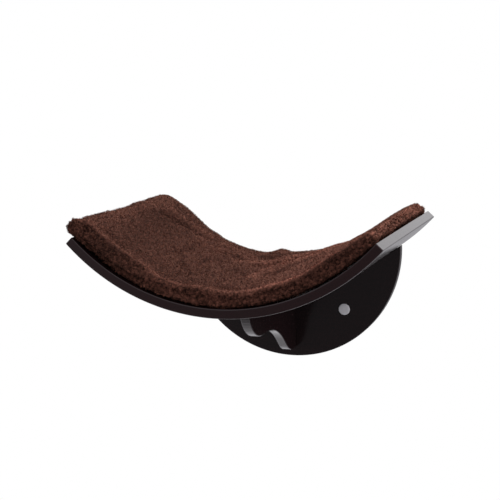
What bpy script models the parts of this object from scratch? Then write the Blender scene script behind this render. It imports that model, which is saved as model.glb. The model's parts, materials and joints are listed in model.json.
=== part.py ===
"""Wall-mounted cat bed: a curved plywood board on a half-round wall plate and a rib, with a fleece cushion.

Metres, +Z up. +X runs along the board, the wall is the plane Y = 0 and the room lies towards -Y.
The origin is on the wall plate's back face, midway between the two wall screws.
Left is -X and front is -Y, as someone in the room sees the bed.
"""
import math
from collections import namedtuple

import bmesh
import bpy

# Driving dimensions of the curved board
BOARD_LENGTH = 0.410
BOARD_DEPTH = 0.280
BOARD_THICKNESS = 0.012
BOARD_RADIUS = 0.270
BOARD_RISE = 0.0543
BOARD_STEPS = 92

# Driving dimensions of the wall plate, a disc cut off along the board's underside
PLATE_RADIUS = 0.160
PLATE_THICKNESS = 0.012
PLATE_CENTRE_RISE = 0.0346
PLATE_RIM_STEPS = 72
PLATE_TOP_STEPS = 28

# Driving dimensions of the rib, which carries the board in front of the plate
RIB_THICKNESS = 0.012
RIB_REACH = 0.200
RIB_NOSE_RADIUS = 0.051
RIB_NOSE_FLAT = 0.0186
RIB_FOOT_FLAT = 0.0135
RIB_FOOT_MARGIN = 0.0136
OGEE_STRAIGHT = 0.0147
OGEE_FOOT_SHARE = 0.31
RIB_ARC_STEPS = 16

# Screws: head and shank sizes, with a hexagon socket in each head
Screw = namedtuple("Screw", "head_radius shank_radius length socket_width socket_depth")
BOARD_SCREW = Screw(0.0040, 0.0020, 0.040, 0.0025, 0.0016)
RIB_SCREW = Screw(0.0045, 0.0025, 0.050, 0.0030, 0.0018)
WALL_SCREW = Screw(0.0045, 0.0025, PLATE_THICKNESS, 0.0030, 0.0022)
HEAD_RIM = 0.0004
HEAD_SUNK = 0.0003
TIP_LENGTH = 0.005
TIP_RADIUS = 0.0005
SCREW_STEPS = 18

# Places of the screws
WALL_SCREW_SPACING = 0.1568
RIB_SCREW_INSET = 0.0235
BOARD_SCREW_FROM_NOSE = 0.040
BOARD_SCREW_FROM_WALL = 0.075
BOARD_SCREW_SPACING = 0.104

# Cover caps over the wall screws
CAP_RADIUS = 0.008
CAP_EDGE = 0.0006
CAP_ROLL = 0.0012
CAP_CROWN = 0.0003
CAP_PEG_RADIUS = 0.0011
CAP_PEG_LENGTH = 0.0020
CAP_STEPS = 48

# Hook-and-loop tabs that hold the cushion on the board
TAB_LENGTH = 0.050
TAB_WIDTH = 0.025
HOOK_THICKNESS = 0.0009
LOOP_THICKNESS = 0.0009
TAB_FROM_CENTRE = 0.135
TAB_FROM_EDGE = 0.055
TAB_STEPS = 6

# Driving dimensions of the cushion
CUSHION_LEFT_OVERHANG = 0.021
CUSHION_RIGHT_OVERHANG = 0.006
CUSHION_FRONT_INSET = 0.0
CUSHION_BACK_INSET = 0.004
CUSHION_THICKNESS = 0.0245
CUSHION_CROWN = 0.002
CUSHION_END_DROP = 0.006
CUSHION_CORNER = 0.015
CUSHION_DRAW = 0.004
CUSHION_WAVE = 0.0015
CUSHION_WAVE_LENGTH = 0.160
CUSHION_WAVE_PEAK = 0.139
CUSHION_ROLL = 2.6
CUSHION_RIM_SHARE = 0.36

# Clearance between touching pieces, and the eased edges of the boards
TOUCH_GAP = 0.0003
EASED_EDGE = 0.0011

# Places that follow from the sizes
ARC_Z = BOARD_RISE + BOARD_RADIUS
UNDERSIDE_RADIUS = BOARD_RADIUS + BOARD_THICKNESS
UNDERSIDE_Z = ARC_Z - UNDERSIDE_RADIUS
BOARD_HALF_ANGLE = math.asin(BOARD_LENGTH / 2 / UNDERSIDE_RADIUS)
PLATE_CENTRE_Z = BOARD_RISE + PLATE_CENTRE_RISE
RIB_FOOT_Z = PLATE_CENTRE_Z - PLATE_RADIUS + RIB_FOOT_MARGIN
RIB_NOSE_Z = UNDERSIDE_Z - RIB_NOSE_RADIUS
HOOK_RADIUS = BOARD_RADIUS - TOUCH_GAP
LOOP_RADIUS = HOOK_RADIUS - HOOK_THICKNESS - TOUCH_GAP
CUSHION_RADIUS = LOOP_RADIUS - LOOP_THICKNESS - TOUCH_GAP

# Finishes: colour, roughness and metallic value
Finish = namedtuple("Finish", "colour roughness metallic")
DARK_LACQUER = Finish((0.019, 0.013, 0.014), 0.35, 0.0)
ZINC_STEEL = Finish((0.62, 0.62, 0.64), 0.30, 1.0)
CAP_GREY = Finish((0.78, 0.78, 0.80), 0.40, 0.0)
BLACK_NYLON = Finish((0.012, 0.012, 0.013), 0.90, 0.0)
BROWN_FLEECE = Finish((0.095, 0.043, 0.030), 0.95, 0.0)


def clear_scene():
    for obj in list(bpy.data.objects):
        bpy.data.objects.remove(obj, do_unlink=True)


def make_material(name, finish):
    material = bpy.data.materials.new(name)
    material.use_nodes = True
    shader = material.node_tree.nodes["Principled BSDF"]
    shader.inputs["Base Color"].default_value = (*finish.colour, 1.0)
    shader.inputs["Roughness"].default_value = finish.roughness
    shader.inputs["Metallic"].default_value = finish.metallic
    return material


def close_mesh(name, bm):
    """Turn a closed bmesh's faces outward and shade it smooth between its sharp edges."""
    bmesh.ops.recalc_face_normals(bm, faces=bm.faces)
    if bm.calc_volume(signed=True) < 0:
        bmesh.ops.reverse_faces(bm, faces=bm.faces)
    mesh = bpy.data.meshes.new(name)
    bm.to_mesh(mesh)
    bm.free()
    mesh.shade_smooth()
    mesh.set_sharp_from_angle(angle=math.radians(35))
    return mesh


def loft(name, rings):
    """Join closed rings of equal point counts into one solid, with a face across each end."""
    bm = bmesh.new()
    loops = [[bm.verts.new(point) for point in ring] for ring in rings]
    for lower, upper in zip(loops, loops[1:]):
        for index in range(len(lower)):
            following = (index + 1) % len(lower)
            bm.faces.new((lower[index], lower[following], upper[following], upper[index]))
    bm.faces.new(loops[0])
    bm.faces.new(loops[-1])
    return close_mesh(name, bm)


def add_object(name, mesh, finish):
    obj = bpy.data.objects.new(name, mesh)
    bpy.context.collection.objects.link(obj)
    obj.data.materials.clear()
    obj.data.materials.append(make_material(name + "_finish", finish))
    return obj


def ease_edges(obj):
    bevel = obj.modifiers.new("eased_edges", "BEVEL")
    bevel.width = EASED_EDGE
    bevel.segments = 3
    bevel.limit_method = "ANGLE"
    bevel.angle_limit = math.radians(35)


def cut(obj, cutter):
    boolean = obj.modifiers.new(cutter.name, "BOOLEAN")
    boolean.operation = "DIFFERENCE"
    boolean.solver = "EXACT"
    boolean.object = cutter


def arc_point(radius, angle, y):
    """A point about the board's arc axis, with the angle measured from straight down towards +X."""
    return (radius * math.sin(angle), y, -radius * math.cos(angle))


def arc_slab(name, inner, outer, start, end, front, back, steps):
    rings = []
    for step in range(steps + 1):
        angle = start + (end - start) * step / steps
        rings.append([
            arc_point(outer, angle, front),
            arc_point(outer, angle, back),
            arc_point(inner, angle, back),
            arc_point(inner, angle, front),
        ])
    return loft(name, rings)


def curved_board():
    mesh = arc_slab("curved_board", BOARD_RADIUS, UNDERSIDE_RADIUS,
                    -BOARD_HALF_ANGLE, BOARD_HALF_ANGLE, -BOARD_DEPTH, 0.0, BOARD_STEPS)
    board = add_object("curved_board", mesh, DARK_LACQUER)
    board.location = (0.0, 0.0, ARC_Z)
    ease_edges(board)
    return board


def plate_outline():
    """The rim from its right corner round below to its left one, then back along the board's underside."""
    top_radius = UNDERSIDE_RADIUS + TOUCH_GAP
    centre_gap = ARC_Z - PLATE_CENTRE_Z
    corner_drop = (top_radius ** 2 - PLATE_RADIUS ** 2 + centre_gap ** 2) / (2 * centre_gap)
    top_angle = math.acos(corner_drop / top_radius)
    rim_start = math.asin((ARC_Z - corner_drop - PLATE_CENTRE_Z) / PLATE_RADIUS)
    rim_turn = math.pi + 2 * rim_start
    outline = []
    for step in range(PLATE_RIM_STEPS):
        angle = rim_start - rim_turn * step / PLATE_RIM_STEPS
        outline.append((PLATE_RADIUS * math.cos(angle), PLATE_CENTRE_Z + PLATE_RADIUS * math.sin(angle)))
    for step in range(PLATE_TOP_STEPS):
        angle = -top_angle + 2 * top_angle * step / PLATE_TOP_STEPS
        outline.append((top_radius * math.sin(angle), ARC_Z - top_radius * math.cos(angle)))
    return outline


def wall_plate():
    outline = plate_outline()
    rings = [[(x, y, z) for x, z in outline] for y in (-PLATE_THICKNESS, 0.0)]
    plate = add_object("wall_plate", loft("wall_plate", rings), DARK_LACQUER)
    ease_edges(plate)
    return plate


def rib_outline():
    """Side view as (Y, Z): back edge, top edge, quarter-round nose, flat, ogee down to the foot."""
    back = -PLATE_THICKNESS - TOUCH_GAP
    nose_y = -RIB_REACH + RIB_NOSE_RADIUS
    ogee_start = nose_y + RIB_NOSE_FLAT
    ogee_end = -PLATE_THICKNESS - RIB_FOOT_FLAT
    ogee_length = ogee_end - ogee_start
    ogee_drop = RIB_NOSE_Z - RIB_FOOT_Z
    slope = 2 * math.atan(ogee_drop / (ogee_length + OGEE_STRAIGHT))
    both_radii = (ogee_length - OGEE_STRAIGHT * math.cos(slope)) / math.sin(slope)
    foot_radius = both_radii * OGEE_FOOT_SHARE
    brow_radius = both_radii - foot_radius
    outline = [(back, RIB_FOOT_Z), (back, UNDERSIDE_Z - TOUCH_GAP)]
    for step in range(RIB_ARC_STEPS + 1):
        angle = math.pi / 2 * step / RIB_ARC_STEPS
        drop = max(TOUCH_GAP, RIB_NOSE_RADIUS * math.sin(angle))
        outline.append((nose_y - RIB_NOSE_RADIUS * math.cos(angle), UNDERSIDE_Z - drop))
    for step in range(RIB_ARC_STEPS + 1):
        angle = slope * step / RIB_ARC_STEPS
        drop = brow_radius * (1 - math.cos(angle))
        outline.append((ogee_start + brow_radius * math.sin(angle), RIB_NOSE_Z - drop))
    for step in range(RIB_ARC_STEPS + 1):
        angle = slope * (1 - step / RIB_ARC_STEPS)
        rise = foot_radius * (1 - math.cos(angle))
        outline.append((ogee_end - foot_radius * math.sin(angle), RIB_FOOT_Z + rise))
    return outline


def support_rib():
    outline = rib_outline()
    rings = [[(x, y, z) for y, z in outline] for x in (-RIB_THICKNESS / 2, RIB_THICKNESS / 2)]
    rib = add_object("support_rib", loft("support_rib", rings), DARK_LACQUER)
    ease_edges(rib)
    return rib


def round_ring(radius, height, steps):
    ring = []
    for step in range(steps):
        angle = math.tau * step / steps
        ring.append((radius * math.cos(angle), radius * math.sin(angle), height))
    return ring


def hexagon_ring(width, height, steps):
    """A ring on a hexagon of this width across flats, at the same angles as a round ring."""
    ring = []
    for step in range(steps):
        angle = math.tau * step / steps
        from_flat = (angle + math.pi / 6) % (math.pi / 3) - math.pi / 6
        radius = width / 2 / math.cos(from_flat)
        ring.append((radius * math.cos(angle), radius * math.sin(angle), height))
    return ring


def screw_mesh(name, size, pointed):
    """A countersunk screw with its head's top at the origin and its shank along -Z."""
    neck = -HEAD_RIM - (size.head_radius - size.shank_radius)
    rings = [
        hexagon_ring(size.socket_width, -size.socket_depth, SCREW_STEPS),
        hexagon_ring(size.socket_width, 0.0, SCREW_STEPS),
        round_ring(size.head_radius, 0.0, SCREW_STEPS),
        round_ring(size.head_radius, -HEAD_RIM, SCREW_STEPS),
        round_ring(size.shank_radius, neck, SCREW_STEPS),
    ]
    if pointed:
        rings.append(round_ring(size.shank_radius, TIP_LENGTH - size.length, SCREW_STEPS))
        rings.append(round_ring(TIP_RADIUS, -size.length, SCREW_STEPS))
    else:
        rings.append(round_ring(size.shank_radius, HEAD_SUNK - size.length, SCREW_STEPS))
    return loft(name, rings)


def screw_cutter(name, size, placing):
    """The countersunk hole for a screw, wider by the clearance all round and open above its head."""
    head = size.head_radius + TOUCH_GAP
    shank = size.shank_radius + TOUCH_GAP
    rim = -HEAD_RIM - TOUCH_GAP
    rings = [
        round_ring(head, head, SCREW_STEPS),
        round_ring(head, rim, SCREW_STEPS),
        round_ring(shank, rim - (head - shank), SCREW_STEPS),
        round_ring(shank, -size.length - 2 * TOUCH_GAP, SCREW_STEPS),
    ]
    cutter = bpy.data.objects.new(name + "_hole", loft(name + "_hole", rings))
    bpy.context.collection.objects.link(cutter)
    cutter.location, cutter.rotation_euler = placing
    cutter.hide_render = True
    cutter.display_type = "WIRE"
    return cutter


def add_screw(name, size, placing, drilled, pointed=True):
    screw = add_object(name, screw_mesh(name, size, pointed), ZINC_STEEL)
    screw.location, screw.rotation_euler = placing
    cutter = screw_cutter(name, size, placing)
    for board in drilled:
        cut(board, cutter)
    return screw


def board_screw_placing(x, y):
    """The head's top just under the board's top face, with the shank square to it."""
    angle = math.asin(x / BOARD_RADIUS)
    px, py, pz = arc_point(BOARD_RADIUS + HEAD_SUNK, angle, y)
    return (px, py, pz + ARC_Z), (0.0, -angle, 0.0)


def board_screws(board, plate, rib):
    rib_places = {"front": BOARD_SCREW_FROM_NOSE - RIB_REACH, "rear": -BOARD_SCREW_FROM_WALL}
    for side, y in rib_places.items():
        add_screw("board_screw_" + side, BOARD_SCREW, board_screw_placing(0.0, y), (board, rib))
    for side, sign in (("left", -1), ("right", 1)):
        placing = board_screw_placing(sign * BOARD_SCREW_SPACING / 2, -PLATE_THICKNESS / 2)
        add_screw("board_screw_" + side, BOARD_SCREW, placing, (board, plate))


def rib_screws(plate, rib):
    """Screws driven from the plate's back face into the rib's end."""
    heights = {"upper": UNDERSIDE_Z - RIB_SCREW_INSET, "lower": RIB_FOOT_Z + RIB_SCREW_INSET}
    for side, z in heights.items():
        placing = (0.0, -HEAD_SUNK, z), (-math.pi / 2, 0.0, 0.0)
        add_screw("rib_screw_" + side, RIB_SCREW, placing, (plate, rib))


def wall_screws(plate):
    """Wall screws, modelled as far as the wall's face, each under its cover cap."""
    for side, sign in (("left", -1), ("right", 1)):
        x = sign * WALL_SCREW_SPACING / 2
        placing = (x, -PLATE_THICKNESS + HEAD_SUNK, 0.0), (math.pi / 2, 0.0, 0.0)
        add_screw("wall_screw_" + side, WALL_SCREW, placing, (plate,), pointed=False)
        cap = add_object("screw_cap_" + side, cap_mesh("screw_cap_" + side), CAP_GREY)
        cap.location = (x, -PLATE_THICKNESS - TOUCH_GAP, 0.0)
        cap.rotation_euler = (math.pi / 2, 0.0, 0.0)


def cap_mesh(name):
    """A nearly flat cap with a rolled rim, its peg in the screw's socket and its underside at the origin."""
    rings = [
        round_ring(CAP_PEG_RADIUS, -CAP_PEG_LENGTH, CAP_STEPS),
        round_ring(CAP_PEG_RADIUS, 0.0, CAP_STEPS),
        round_ring(CAP_RADIUS, 0.0, CAP_STEPS),
    ]
    for degrees in (0, 22, 45, 67, 90):
        angle = math.radians(degrees)
        radius = CAP_RADIUS - CAP_ROLL * (1 - math.cos(angle))
        rings.append(round_ring(radius, CAP_EDGE + CAP_ROLL * math.sin(angle), CAP_STEPS))
    for share in (0.8, 0.5, 0.2):
        height = CAP_EDGE + CAP_ROLL + CAP_CROWN * (1 - share ** 2)
        rings.append(round_ring((CAP_RADIUS - CAP_ROLL) * share, height, CAP_STEPS))
    return loft(name, rings)


def tab_places():
    """Name, angle and centre line of each hook-and-loop tab."""
    places = []
    for side, sign in (("left", -1), ("right", 1)):
        angle = sign * TAB_FROM_CENTRE / BOARD_RADIUS
        places.append((side + "_front", angle, TAB_FROM_EDGE - BOARD_DEPTH))
        places.append((side + "_rear", angle, -TAB_FROM_EDGE))
    return places


def add_tab(name, radius, thickness, angle, y):
    half_turn = TAB_LENGTH / 2 / BOARD_RADIUS
    mesh = arc_slab(name, radius - thickness, radius, angle - half_turn, angle + half_turn,
                    y - TAB_WIDTH / 2, y + TAB_WIDTH / 2, TAB_STEPS)
    return add_object(name, mesh, BLACK_NYLON)


def hook_tabs():
    for side, angle, y in tab_places():
        tab = add_tab("hook_tab_" + side, HOOK_RADIUS, HOOK_THICKNESS, angle, y)
        tab.location = (0.0, 0.0, ARC_Z)


def loop_tabs(lift):
    for side, angle, y in tab_places():
        tab = add_tab("loop_tab_" + side, LOOP_RADIUS, LOOP_THICKNESS, angle, y)
        tab.parent = lift


def spread(length, corner, inner_steps):
    """Places along a side: close together in the rolled edges at both ends, even between them."""
    edge = [corner * share for share in (0.0, 0.06, 0.2, 0.45, 0.75)]
    inner = [corner + (length - 2 * corner) * step / inner_steps for step in range(inner_steps + 1)]
    return edge + inner + [length - place for place in reversed(edge)]


def cushion_plan(along, across, length, depth):
    """Round the plan's corners and draw its sides in; returns the place and its distance from the edge."""
    corner = CUSHION_CORNER
    from_middle = [along - length / 2, across - depth / 2]
    past = [max(0.0, abs(from_middle[0]) - length / 2 + corner) / corner,
            max(0.0, abs(from_middle[1]) - depth / 2 + corner) / corner]
    rounded = [past[0] * math.sqrt(1 - past[1] ** 2 / 2), past[1] * math.sqrt(1 - past[0] ** 2 / 2)]
    for axis in (0, 1):
        from_middle[axis] -= math.copysign((past[axis] - rounded[axis]) * corner, from_middle[axis])
    from_edge = 1 - min(1.0, math.hypot(*rounded))
    bow_along = 1 - (2 * from_middle[1] / depth) ** 2
    bow_across = 1 - (2 * from_middle[0] / length) ** 2
    from_middle[0] *= 1 - 2 * CUSHION_DRAW / length * bow_along
    from_middle[1] *= 1 - 2 * CUSHION_DRAW / depth * bow_across
    return from_middle[0], from_middle[1], from_edge


def cushion_height(along, across, length, depth):
    """Thickness away from the rolled edges: a low crown, thinner ends, shallow waves along the length."""
    crown = CUSHION_CROWN * (1 - (2 * across / depth) ** 2)
    end_drop = CUSHION_END_DROP * (2 * along / length) ** 4
    wave = CUSHION_WAVE * math.cos(math.tau * (along - CUSHION_WAVE_PEAK) / CUSHION_WAVE_LENGTH)
    return CUSHION_THICKNESS + crown - end_drop + wave


def cushion_mesh():
    left = -BOARD_HALF_ANGLE * BOARD_RADIUS - CUSHION_LEFT_OVERHANG
    right = BOARD_HALF_ANGLE * BOARD_RADIUS + CUSHION_RIGHT_OVERHANG
    length = right - left
    depth = BOARD_DEPTH - CUSHION_FRONT_INSET - CUSHION_BACK_INSET
    middle = (left + right) / 2
    middle_y = -CUSHION_BACK_INSET - depth / 2
    columns = spread(length, CUSHION_CORNER, 18)
    rows = spread(depth, CUSHION_CORNER, 9)
    bm = bmesh.new()
    top = {}
    bottom = {}
    for column, along in enumerate(columns):
        for row, across in enumerate(rows):
            s, y, from_edge = cushion_plan(along, across, length, depth)
            height = cushion_height(s, y, length, depth)
            roll = (1 - (1 - from_edge) ** CUSHION_ROLL) ** (1 / CUSHION_ROLL)
            angle = (middle + s) / BOARD_RADIUS
            rim = height * CUSHION_RIM_SHARE
            upper = arc_point(CUSHION_RADIUS - rim - (height - rim) * roll, angle, middle_y + y)
            lower = arc_point(CUSHION_RADIUS - rim + rim * roll, angle, middle_y + y)
            top[column, row] = bm.verts.new(upper)
            on_rim = column in (0, len(columns) - 1) or row in (0, len(rows) - 1)
            bottom[column, row] = top[column, row] if on_rim else bm.verts.new(lower)
    for column in range(len(columns) - 1):
        for row in range(len(rows) - 1):
            for sheet in (top, bottom):
                bm.faces.new((sheet[column, row], sheet[column + 1, row],
                              sheet[column + 1, row + 1], sheet[column, row + 1]))
    return close_mesh("cushion", bm)


def cushion(lift):
    pad = add_object("cushion", cushion_mesh(), BROWN_FLEECE)
    pad.parent = lift


def build():
    clear_scene()
    lift = bpy.data.objects.new("cushion_lift", None)
    lift.location = (0.0, 0.0, ARC_Z)
    bpy.context.collection.objects.link(lift)
    board = curved_board()
    plate = wall_plate()
    rib = support_rib()
    board_screws(board, plate, rib)
    rib_screws(plate, rib)
    wall_screws(plate)
    hook_tabs()
    loop_tabs(lift)
    cushion(lift)


build()
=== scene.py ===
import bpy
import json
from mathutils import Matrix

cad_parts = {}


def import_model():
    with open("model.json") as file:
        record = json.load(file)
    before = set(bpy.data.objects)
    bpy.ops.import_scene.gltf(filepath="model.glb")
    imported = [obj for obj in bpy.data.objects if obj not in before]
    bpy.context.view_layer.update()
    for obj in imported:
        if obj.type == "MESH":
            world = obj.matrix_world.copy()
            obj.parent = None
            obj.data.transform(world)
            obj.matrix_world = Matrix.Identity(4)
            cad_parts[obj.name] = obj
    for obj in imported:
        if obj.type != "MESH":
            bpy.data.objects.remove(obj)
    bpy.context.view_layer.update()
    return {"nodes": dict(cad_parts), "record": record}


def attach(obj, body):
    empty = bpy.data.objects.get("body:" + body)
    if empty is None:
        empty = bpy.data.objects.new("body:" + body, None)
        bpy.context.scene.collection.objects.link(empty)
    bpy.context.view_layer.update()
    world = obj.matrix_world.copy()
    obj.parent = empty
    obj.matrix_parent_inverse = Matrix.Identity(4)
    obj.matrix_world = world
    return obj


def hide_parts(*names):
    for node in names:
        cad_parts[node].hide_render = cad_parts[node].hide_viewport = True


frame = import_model()

# Looks of the wall-mounted cat bed: metres, +X along the board, the wall at Y = 0, the room towards -Y
import json
import math
from collections import namedtuple

import bmesh
import bpy
import numpy as np
from mathutils import Matrix, Vector

MM = 0.001

# The photograph's camera: focal length as a share of the picture's width, angles in degrees
FOCAL_SHARE = 1162.338 / 500
SENSOR = 36.0
CAMERA_AZIMUTH = 21.024
CAMERA_ELEVATION = 9.306
CAMERA_ROLL = -2.229
CAMERA_DISTANCE = 1.526464
CAMERA_TARGET = Vector((-0.010599, -0.140, 0.103513))

# The floor: a disc that fades out from its middle
FLOOR_PLACE = (0.0, -0.14, -0.62)
FLOOR_RADIUS = 0.50
FLOOR_RINGS = 8
FLOOR_SIDES = 64
FLOOR_FADE = (0.15, 0.46)

# The lamps: name, place, where it aims, its two sides and its power
LAMPS = (("top_softbox", (0.32, 0.72, 1.5), (0.0, -0.14, 0.1), (1.2, 1.0), 17.0),
         ("side_softbox", (1.30, 0.15, 0.85), (0.1, -0.14, 0.1), (0.8, 0.8), 6.5),
         ("back_softbox", (0.35, 1.5, 0.75), (0.0, -0.14, 0.1), (1.4, 0.8), 2.0))

# The world's light: how much looking down counts as looking to the room, then ramps from place to value
ROOM_TILT = -0.55
ROOM_SHADE = (0.70, 1.05, 1.0, 0.27)
DIFFUSE_LIGHT = (-0.40, 0.40, 0.42, 0.80)
MIRRORED_BELOW = (-0.66, -0.42, 1.0, 0.48)
MIRRORED_ABOVE = (-0.12, 0.20, 0.0, 0.18)

# The board's arc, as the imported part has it, and the radius of the cushion's underside
BOARD_RADIUS = 0.270
BOARD_RISE = 0.0543
ARC_Z = BOARD_RISE + BOARD_RADIUS
BASE_RADIUS = 0.2673

# Where the lacquer's look changes: the board's front face, lighter and redder, and the plate's rim outside
# the board's arc, whose reflection is dulled as painted shade from a wall beside it
FRONT_FACE_Y = (-0.2796, -0.2786)
PLATE_RIM_SHADE_Y = (-0.0119, -0.0110)
PLATE_RIM_SHADE_RADIUS = (0.2822, 0.2828)

# Colours
WHITE = (1.0, 1.0, 1.0)
MIRRORED_TINT = (0.97, 0.955, 1.0)
LACQUER_DARK = (0.0105, 0.0047, 0.0052)
LACQUER_LIGHT = (0.0160, 0.0070, 0.0075)
LACQUER_CLOUD = (0.0085, 0.0038, 0.0043)
FRONT_FACE_COLOUR = (0.0215, 0.0060, 0.0066)
ZINC_DARK = (0.50, 0.51, 0.54)
ZINC_LIGHT = (0.72, 0.72, 0.72)
CAP_DARK = (0.93, 0.92, 0.95)
CAP_LIGHT = (0.97, 0.965, 0.98)
HOOK_COLOUR = (0.030, 0.030, 0.033)
TAPE_COLOUR = (0.006, 0.006, 0.007)
FLOOR_DARK = (0.90, 0.90, 0.90)
FLOOR_LIGHT = (0.94, 0.94, 0.94)
COVER_DARK = (0.085, 0.035, 0.025)
COVER_LIGHT = (0.140, 0.059, 0.042)
PILE_DARK = (0.150, 0.060, 0.041)
PILE_LIGHT = (0.240, 0.097, 0.067)
SHEEN_TINT = (0.75, 0.50, 0.40)

# The cushion's plan in millimetres: s along the arc from its lowest line, y out from the wall
LEFT_END = -238.5
RIGHT_END = 225.0
FRONT_EDGE = -280.0
BACK_EDGE = -4.0
MIDDLE_S = -7
MIDDLE_Y = -142
LENGTH = 463
HALF_LENGTH = 232
DEPTH = 276
HALF_DEPTH = 138
CORNER = 15.0

# The cushion's grid: cells of its rounded rim, its length and its depth, and the step of the coarse grid
RING_CELLS = 16
CELLS_ALONG = 340
CELLS_ACROSS = 208
COARSE = 4
GRID = (CELLS_ALONG + 1, CELLS_ACROSS + 1)
TOP_CELLS = CELLS_ALONG * CELLS_ACROSS

# The cushion's section in millimetres, its middle as a share of its thickness
NOMINAL_THICKNESS = 24.0
LEAST_THICKNESS = 8.0
MIDDLE_SHARE = 0.46
TOP_ROLL = 3.6
BOTTOM_ROLL = 3.8
ROLL_STEPS = 24
BASE_LIFT = 2.7
PILE_ALLOWANCE = 1.5
CROWN = 2.0
# Where the top goes over from the front's heights to the back's, and how far in the rim's shape reaches
TOP_SPAN = (FRONT_EDGE + 20, BACK_EDGE - 20)
RIM_FADE = (0.0, 0.8)

# Heights of the cushion's top above the board, along its back and its front
BACK_HEIGHTS = ((-240, 11.6), (-220, 25.0), (-200, 32.0), (-180, 33.4), (-160, 31.2), (-145, 28),
                (-125, 26.4), (-112, 24.6), (-83, 24.5), (-64, 24.2), (-38, 24.7), (-25, 26), (14, 28.2),
                (41, 27.9), (63, 27.3), (93, 27), (140, 26), (180, 24), (225, 20))
FRONT_HEIGHTS = ((-240, 17), (-224, 20.4), (-206, 22), (-188, 22.8), (-160, 24), (-137, 25.2),
                 (-111, 22.8), (-72, 21), (-39, 23.4), (-18, 22.2), (1, 20.2), (24, 18.6), (65, 21),
                 (100, 21.5), (121, 22), (150, 23.5), (170, 23.4), (188, 20.0), (205, 18.4), (225, 14.4))
# How far the front's lower edge stands off the board, and how far back that reaches
FRONT_LIFTS = ((-240, -1.5), (-220, -1.5), (-206, -0.8), (-192, 0.6), (-166, 0.4), (-140, -1.4),
               (-112, -1.6), (60, -1.6), (100, -0.8), (150, -1.2), (225, -0.6))
LIFT_SPAN = (FRONT_EDGE + 6, FRONT_EDGE + 42)

# Corners: place, how far each stands out of the plan and droops; their size, and how much less tops droop
CORNERS = ((LEFT_END, FRONT_EDGE, 0.6, 1.5), (LEFT_END, BACK_EDGE, 3.0, 0.0),
           (RIGHT_END, FRONT_EDGE, 2.0, 0.0), (RIGHT_END, BACK_EDGE, -5.6, 4.8))
CORNER_REACH = 16
DROOP_FADE = 0.8

# How the edges are pulled in: all round, more in the middle of each end and of the front and back
EDGE_PULL = 1.0
FRONT_SHARE = 0.8
END_PULL = 3.5
FRONT_PULL = 2.5
PULL_POWER = 6

# Layers of noise, as size, seed and height: the edges' waver, and the top's lumps from the rim up
EDGE_WAVER = ((46.0, 11, 2.2), (19.0, 12, 1.0))
TOP_LUMPS = ((62.0, 21, 1.1), (27.0, 22, 0.6))
LUMPS_FROM = (0.1, 0.6)

# Spans along the cushion, as where each rises from 0 to 1 and where it falls back
SLANTED_FRONT = (-238, -214, -124, -92)
BACK_FOLDS_SPAN = (-215, -190, -108, -96)
# Where the ridge's painted highlight is stronger
RIDGE_HIGHLIGHT_SPAN = (0, 50, 165, 200)
BAND_SPAN = (-224, -205, 192, 208)

# The front ridge: its line, its rise and width, the gutter behind it, and the front's drop where it slants
RIDGE_Y = -274
RIDGE_SHIFT = 11
RIDGE_WAVES = ((1.2, 38.0, 0.0), (0.8, 17.0, 1.0))
RIDGE_RISE = 3.2
RIDGE_WIDTH = 6.0
GUTTER_DEPTH = 2.2
GUTTER_PLACE = 16
GUTTER_WIDTH = 9.0
SLANT_DROP = 0.5
SLANT_EDGE_DROP = 9.0
SLANT_SPAN = (FRONT_EDGE - 4, FRONT_EDGE + 17)

# The hollow along the front: its depth and the levels it covers, as shares of the thickness
BAND_HOLLOW = 3.2
BAND_LEVELS = (0.22, 0.42, 0.72, 0.86)

# Swells and dents of the top: height, then place and width along the cushion and out from the wall
SWELLS = ((3.8, -226, 16.0, -250, 16.0), (3.2, -232, 14.0, -222, 16.0), (4.64, -232, 14.0, -92, 18.0),
          (5.0, -12, 12.5, -10, 18.0), (3.0, -226, 16.0, -24, 26.0), (-2.0, -236, 12.0, -190, 40.0),
          (-5.0, -212, 15.0, -140, 24.0))

# Folds of the top: rise in millimetres, painted light on the pile (painted shade where negative), with the
# widths of both, and line
Fold = namedtuple("Fold", "rise rise_width light light_width points")
BACK_FOLDS = (
    Fold(3.2, 7.0, 0.40, 6.5,
         ((-204, -72), (-176, -64), (-160, -53), (-146, -42), (-123, -40), (-98, -34))),
    Fold(-4.6, 7.0, -0.22, 6.5,
         ((-191, -92), (-166, -80), (-151, -68), (-136, -59), (-117, -55), (-100, -48))),
)
TOP_FOLDS = (
    Fold(1.8, 9.0, 0.72, 10.0,
         ((11, -195), (18, -152), (34, -130), (54, -118), (73, -105), (95, -92), (120, -84))),
    Fold(1.8, 9.0, 0.72, 10.0,
         ((-38, -122), (-16, -116), (5, -110), (23, -96), (43, -85), (66, -80), (82, -67), (100, -60))),
    Fold(2.2, 6.0, 0.42, 6.5, ((-110, -56), (-100, -54), (-80, -60), (-60, -65), (-30, -78))),
    Fold(2.0, 6.0, 0.36, 6.5, ((-125, -84), (-105, -84), (-87, -82), (-61, -80), (-40, -92))),
    Fold(-1.8, 8.0, -0.30, 9.0,
         ((-22, -175), (1, -175), (24, -172), (47, -170), (63, -150), (79, -128), (100, -114),
          (130, -104))),
    Fold(-1.8, 8.0, -0.30, 9.0, ((-40, -54), (-7, -68), (33, -54), (55, -48), (71, -32))),
)

# The right end's crease, notch and pit: the spans where they start, their places from the wall and levels
END_PRESS = (190, 224)
END_PRESS_FRONT = (FRONT_EDGE, FRONT_EDGE + 12)
CREASE_END = (-125, -95)
CREASE_LEVEL = 0.46
NOTCH_PLACE = (-112, 0.22)
PIT_PLACE = (-242, 0.3)
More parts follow.
